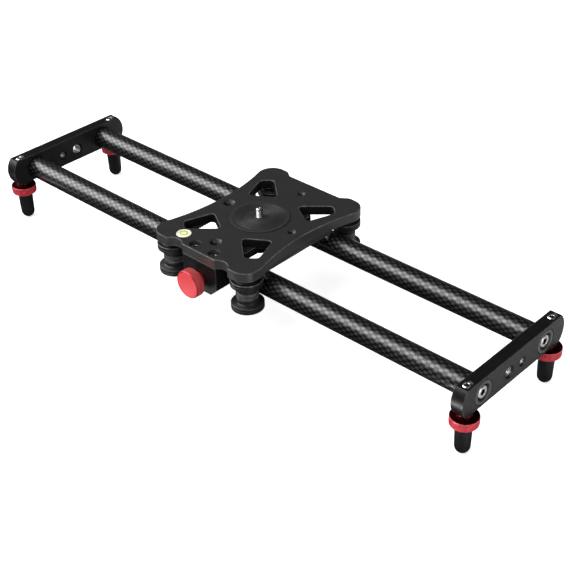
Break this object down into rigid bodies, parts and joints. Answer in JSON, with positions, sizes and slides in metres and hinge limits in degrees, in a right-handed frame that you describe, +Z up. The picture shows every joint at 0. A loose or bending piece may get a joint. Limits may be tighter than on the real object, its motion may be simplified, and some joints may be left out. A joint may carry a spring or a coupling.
{
  "type": "camera slider",
  "caption": "Manual camera slider: a waisted black carriage on grooved rollers, twin carbon tubes between end plates, screw-adjusted rubber feet, red brake knob and lock rings.",
  "frame": {"origin": "centre of the bottom of the bounding box at rest, on the plane the rubber feet stand on", "axes": "+X along the tubes, +Z up, +Y away from the brake knob"},
  "size_m": [0.5894, 0.1748, 0.0919],
  "materials": {
    "carbon_twill": "glossy 2x2 twill carbon fibre",
    "black_anodised": "satin black anodised",
    "deck_black": "fine bead-blasted black anodised",
    "disc_black": "black anodised with fine turned grooves",
    "grey_anodised": "turned, satin dark grey",
    "red_anodised": "bright red anodised",
    "black_rubber": "moulded matt rubber",
    "bright_steel": "bright zinc plated",
    "dark_screw": "black oxide",
    "bearing_steel": "ground steel",
    "white_nylon": "natural nylon",
    "level_case": "pale moulded plastic",
    "level_fluid": "yellow-green fluid behind clear plastic"
  },
  "bodies": {
    "frame": {"end_plate_left": "black_anodised", "end_plate_right": "black_anodised", "rail_tube_front": "carbon_twill", "rail_tube_rear": "carbon_twill", "tube_insert_right_front": "grey_anodised", "cup_washer_right_front": "grey_anodised", "tube_screw_right_front": "bright_steel", "tube_insert_right_rear": "grey_anodised", "cup_washer_right_rear": "grey_anodised", "tube_screw_right_rear": "bright_steel", "tube_insert_left_front": "grey_anodised", "cup_washer_left_front": "grey_anodised", "tube_screw_left_front": "bright_steel", "tube_insert_left_rear": "grey_anodised", "cup_washer_left_rear": "grey_anodised", "tube_screw_left_rear": "bright_steel"},
    "carriage": {"carriage_plate": "deck_black", "friction_disc": "disc_black", "camera_stud": "bright_steel", "level_case": "level_case", "level_vial": "level_fluid", "brake_block": "black_anodised", "block_screw_left": "dark_screw", "block_screw_right": "dark_screw", "roller_axle_right_front": "bearing_steel", "roller_spacer_right_front": "black_anodised", "roller_axle_right_rear": "bearing_steel", "roller_spacer_right_rear": "black_anodised", "roller_axle_left_front": "bearing_steel", "roller_spacer_left_front": "black_anodised", "roller_axle_left_rear": "bearing_steel", "roller_spacer_left_rear": "black_anodised"},
    "roller_right_front": {"roller_right_front": "black_anodised", "bearing_upper_right_front": "bearing_steel", "bearing_lower_right_front": "bearing_steel"},
    "roller_right_rear": {"roller_right_rear": "black_anodised", "bearing_upper_right_rear": "bearing_steel", "bearing_lower_right_rear": "bearing_steel"},
    "roller_left_front": {"roller_left_front": "black_anodised", "bearing_upper_left_front": "bearing_steel", "bearing_lower_left_front": "bearing_steel"},
    "roller_left_rear": {"roller_left_rear": "black_anodised", "bearing_upper_left_rear": "bearing_steel", "bearing_lower_left_rear": "bearing_steel"},
    "brake_pad": {"brake_pad": "white_nylon"},
    "brake_knob": {"brake_knob": "red_anodised", "brake_screw": "bright_steel"},
    "foot_right_front": {"rubber_foot_right_front": "black_rubber"},
    "stud_right_front": {"leg_stud_right_front": "bright_steel"},
    "ring_right_front": {"lock_ring_right_front": "red_anodised"},
    "foot_right_rear": {"rubber_foot_right_rear": "black_rubber"},
    "stud_right_rear": {"leg_stud_right_rear": "bright_steel"},
    "ring_right_rear": {"lock_ring_right_rear": "red_anodised"},
    "foot_left_front": {"rubber_foot_left_front": "black_rubber"},
    "stud_left_front": {"leg_stud_left_front": "bright_steel"},
    "ring_left_front": {"lock_ring_left_front": "red_anodised"},
    "foot_left_rear": {"rubber_foot_left_rear": "black_rubber"},
    "stud_left_rear": {"leg_stud_left_rear": "bright_steel"},
    "ring_left_rear": {"lock_ring_left_rear": "red_anodised"}
  },
  "joints": [
    {"name": "carriage_slide", "type": "slide", "parent": "frame", "child": "carriage", "axis": [1, 0, 0], "range_m": [-0.2168, 0.21]},
    {"name": "roller_right_front_spin", "type": "hinge", "parent": "carriage", "child": "roller_right_front", "pos_m": [0.05, -0.0588, 0.0535], "axis": [0, 0, 1], "continuous": true},
    {"name": "roller_right_rear_spin", "type": "hinge", "parent": "carriage", "child": "roller_right_rear", "pos_m": [0.05, 0.0724, 0.0535], "axis": [0, 0, 1], "continuous": true},
    {"name": "roller_left_front_spin", "type": "hinge", "parent": "carriage", "child": "roller_left_front", "pos_m": [-0.0432, -0.0588, 0.0535], "axis": [0, 0, 1], "continuous": true},
    {"name": "roller_left_rear_spin", "type": "hinge", "parent": "carriage", "child": "roller_left_rear", "pos_m": [-0.0432, 0.0724, 0.0535], "axis": [0, 0, 1], "continuous": true},
    {"name": "brake_advance", "type": "slide", "parent": "carriage", "child": "brake_pad", "axis": [0, 1, 0], "range_m": [-0.001, 0.0003]},
    {"name": "brake_knob_turn", "type": "hinge", "parent": "brake_pad", "child": "brake_knob", "pos_m": [0.0034, -0.0782, 0.0544], "axis": [0, 1, 0], "range_deg": [-360.5, 108.5]},
    {"name": "leg_extend_right_front", "type": "slide", "parent": "frame", "child": "foot_right_front", "axis": [0, 0, -1], "range_m": [0, 0.01]},
    {"name": "stud_turn_right_front", "type": "hinge", "parent": "foot_right_front", "child": "stud_right_front", "pos_m": [0.2822, -0.053, 0.0535], "axis": [0, 0, -1], "range_deg": [-0.5, 2880.5]},
    {"name": "ring_turn_right_front", "type": "hinge", "parent": "frame", "child": "ring_right_front", "pos_m": [0.2822, -0.053, 0.0535], "axis": [0, 0, 1], "range_deg": [-360, 360]},
    {"name": "leg_extend_right_rear", "type": "slide", "parent": "frame", "child": "foot_right_rear", "axis": [0, 0, -1], "range_m": [0, 0.01]},
    {"name": "stud_turn_right_rear", "type": "hinge", "parent": "foot_right_rear", "child": "stud_right_rear", "pos_m": [0.2822, 0.0666, 0.0535], "axis": [0, 0, -1], "range_deg": [-0.5, 2880.5]},
    {"name": "ring_turn_right_rear", "type": "hinge", "parent": "frame", "child": "ring_right_rear", "pos_m": [0.2822, 0.0666, 0.0535], "axis": [0, 0, 1], "range_deg": [-360, 360]},
    {"name": "leg_extend_left_front", "type": "slide", "parent": "frame", "child": "foot_left_front", "axis": [0, 0, -1], "range_m": [0, 0.01]},
    {"name": "stud_turn_left_front", "type": "hinge", "parent": "foot_left_front", "child": "stud_left_front", "pos_m": [-0.2822, -0.053, 0.0535], "axis": [0, 0, -1], "range_deg": [-0.5, 2880.5]},
    {"name": "ring_turn_left_front", "type": "hinge", "parent": "frame", "child": "ring_left_front", "pos_m": [-0.2822, -0.053, 0.0535], "axis": [0, 0, 1], "range_deg": [-360, 360]},
    {"name": "leg_extend_left_rear", "type": "slide", "parent": "frame", "child": "foot_left_rear", "axis": [0, 0, -1], "range_m": [0, 0.01]},
    {"name": "stud_turn_left_rear", "type": "hinge", "parent": "foot_left_rear", "child": "stud_left_rear", "pos_m": [-0.2822, 0.0666, 0.0535], "axis": [0, 0, -1], "range_deg": [-0.5, 2880.5]},
    {"name": "ring_turn_left_rear", "type": "hinge", "parent": "frame", "child": "ring_left_rear", "pos_m": [-0.2822, 0.0666, 0.0535], "axis": [0, 0, 1], "range_deg": [-360, 360]}
  ],
  "couplings": [
    {"joint": "roller_right_front_spin", "follows": "carriage_slide", "rad_per_m": 95.238},
    {"joint": "roller_right_rear_spin", "follows": "carriage_slide", "rad_per_m": -95.238},
    {"joint": "roller_left_front_spin", "follows": "carriage_slide", "rad_per_m": 95.238},
    {"joint": "roller_left_rear_spin", "follows": "carriage_slide", "rad_per_m": -95.238},
    {"joint": "brake_knob_turn", "follows": "brake_advance", "rad_per_m": 6283.2},
    {"joint": "stud_turn_right_front", "follows": "leg_extend_right_front", "rad_per_m": 5026.5},
    {"joint": "stud_turn_right_rear", "follows": "leg_extend_right_rear", "rad_per_m": 5026.5},
    {"joint": "stud_turn_left_front", "follows": "leg_extend_left_front", "rad_per_m": 5026.5},
    {"joint": "stud_turn_left_rear", "follows": "leg_extend_left_rear", "rad_per_m": 5026.5}
  ]
}
